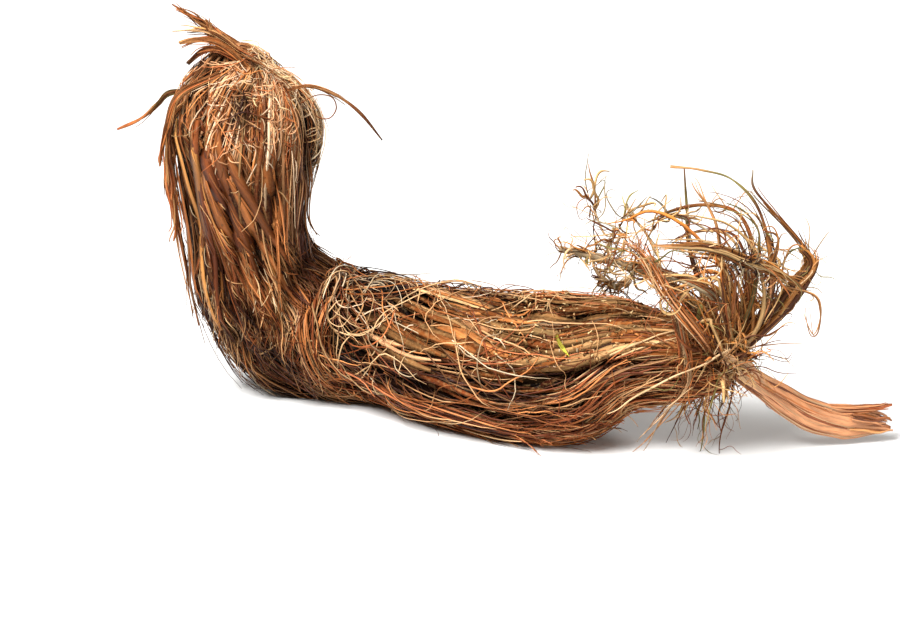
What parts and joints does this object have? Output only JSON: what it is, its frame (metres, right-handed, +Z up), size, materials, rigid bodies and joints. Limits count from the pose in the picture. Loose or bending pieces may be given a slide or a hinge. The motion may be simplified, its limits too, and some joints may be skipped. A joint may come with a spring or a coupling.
{
  "type": "spikenard root",
  "caption": "Dried spikenard root bent like a boot, in a coat of coarse brown fibres, with a crown of dry leaf bases, wiry rootlets and a leaf stalk at its growing end.",
  "frame": {"origin": "on the floor, in the flat spot under the heel of the boot-shaped rhizome", "axes": "+Z up, +X along the lying arm towards the crown, +Y away from the viewer"},
  "size_m": [0.117, 0.0559, 0.0628],
  "materials": {
    "coat": "matt dry fibre",
    "rootlets": "matt dry fibre",
    "stalk": "satin dry leaf stalk",
    "leaf": "satin dry leaf",
    "stem": "matt woody stem",
    "bundle": "satin dry fibre"
  },
  "bodies": {
    "root": {"rhizome": "coat", "crown_rootlets": "rootlets", "old_stem": "stem", "fibre_bundle": "bundle", "leaf_stalk": "stalk", "leaf_base_knee": "leaf", "leaf_base_arc": "leaf", "leaf_base_curl": "leaf", "leaf_base_upright": "leaf", "leaf_base_band": "leaf"}
  },
  "joints": []
}
